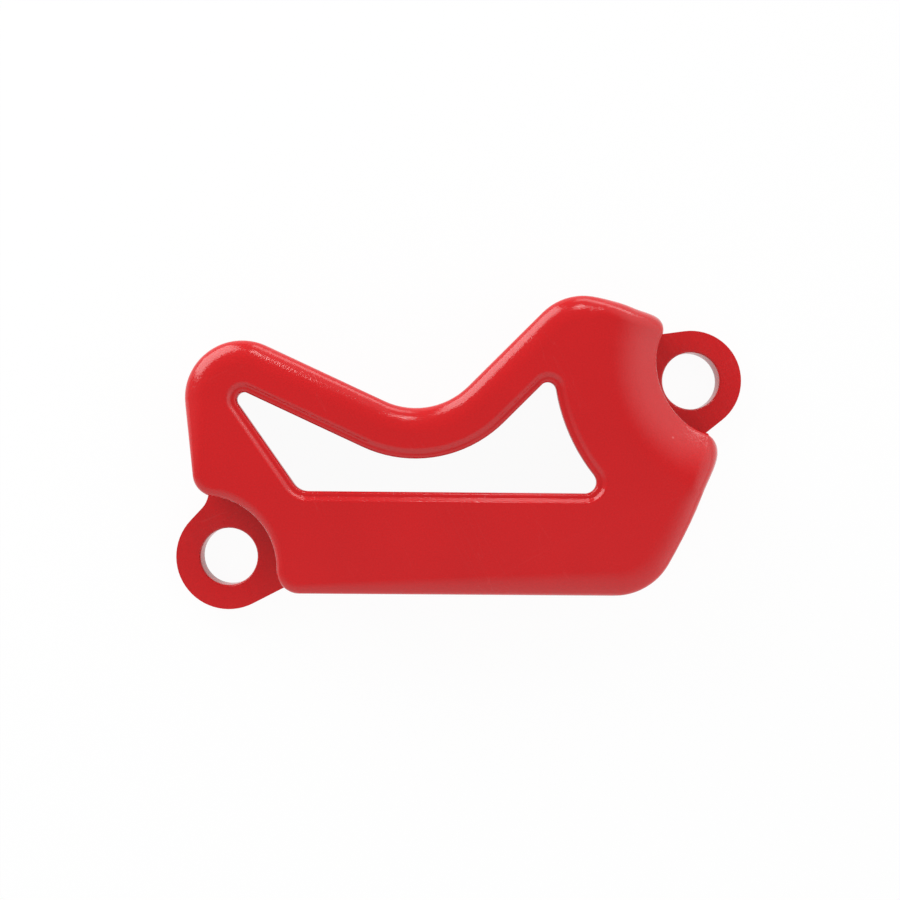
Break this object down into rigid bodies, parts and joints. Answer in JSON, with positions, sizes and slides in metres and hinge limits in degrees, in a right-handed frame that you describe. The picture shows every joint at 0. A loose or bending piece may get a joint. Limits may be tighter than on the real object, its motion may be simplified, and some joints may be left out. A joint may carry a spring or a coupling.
{
  "type": "brake caliper guard",
  "caption": "Moulded plastic brake caliper guard: an open-backed shell with rolled edges, an arched window and two flat bolt ears.",
  "frame": {"origin": "axis of the lower bolt hole on the plane of the guard's open back", "axes": "+Z out of the front face, +X along the straight base towards the upper ear, +Y from the base towards the arch"},
  "size_m": [0.1026, 0.0562, 0.018],
  "materials": {
    "red_plastic": "moulded red plastic with a soft gloss"
  },
  "bodies": {
    "root": {"caliper_guard": "red_plastic"}
  },
  "joints": []
}
